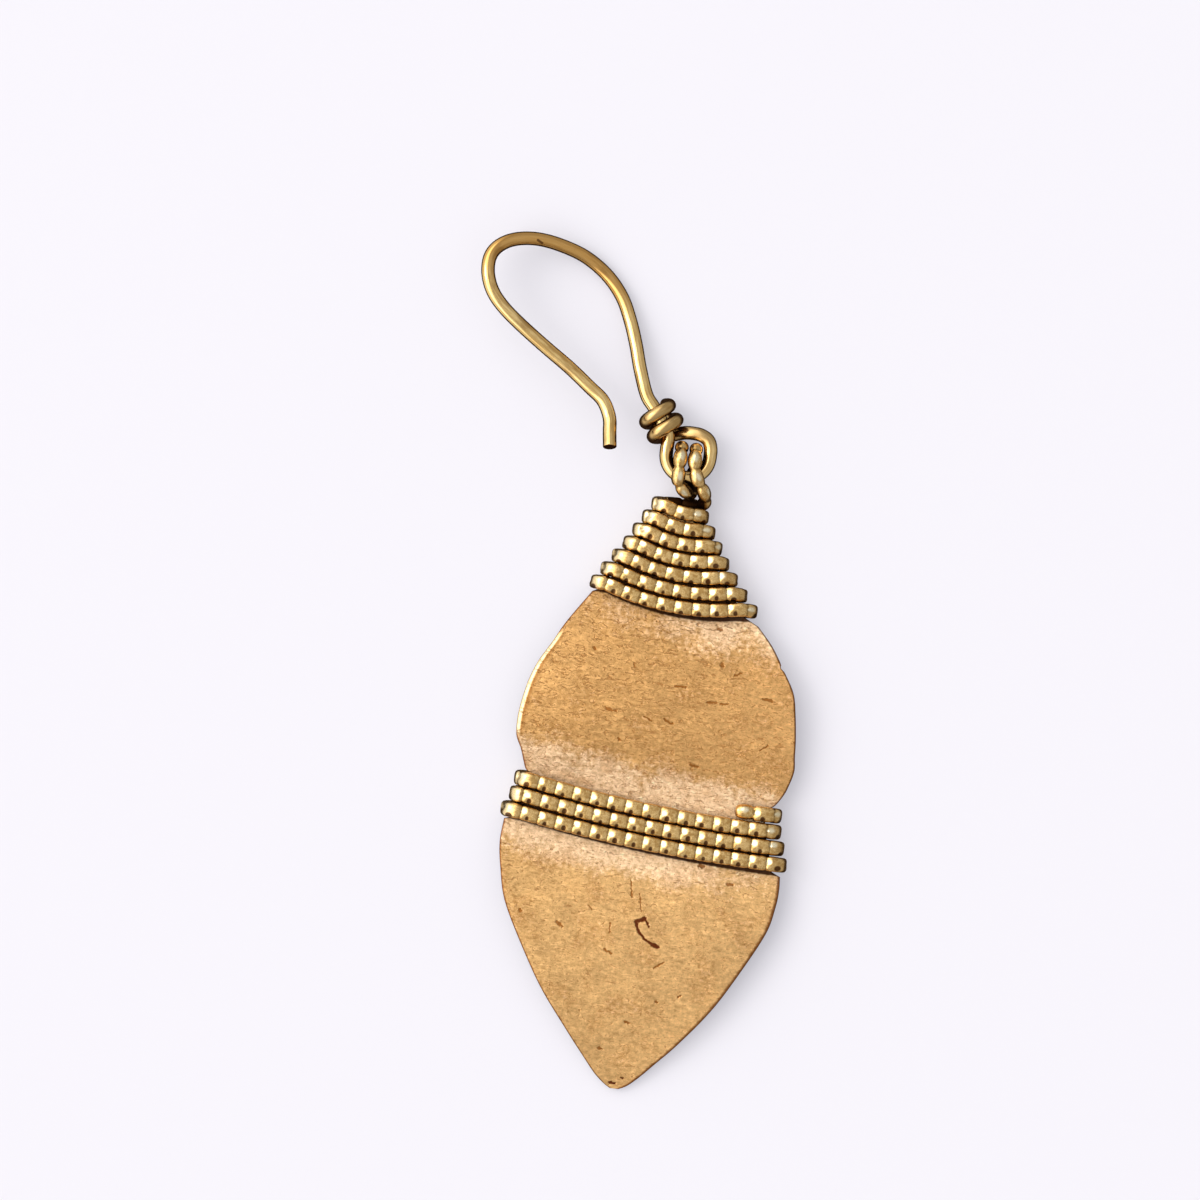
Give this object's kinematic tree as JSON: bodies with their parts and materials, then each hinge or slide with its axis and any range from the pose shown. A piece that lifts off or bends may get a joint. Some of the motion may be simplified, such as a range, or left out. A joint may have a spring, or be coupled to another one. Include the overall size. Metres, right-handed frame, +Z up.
{
  "type": "dhokra earring, one of a pair",
  "caption": "Flat leaf-shaped brass drop earring, bound at its neck and waist with beaded wire, on an open ear hook of round wire.",
  "frame": {"origin": "middle of the earring's bounding box, on the surface that it lies on", "axes": "+Y along the leaf from its tip to the hook, +X across the leaf to its right as its face is seen, +Z up out of the leaf's face"},
  "size_m": [0.0281, 0.0628, 0.0039],
  "materials": {
    "sheet_brass": "satin, hand-rubbed sheet with fine scratches and small pits",
    "beaded_brass": "bright beads with dark patina in the grooves",
    "hook_brass": "drawn wire, satin, a little tarnished"
  },
  "bodies": {
    "root": {"leaf": "sheet_brass", "neck_winding": "beaded_brass", "waist_winding": "beaded_brass", "ear_hook": "hook_brass"}
  },
  "joints": []
}
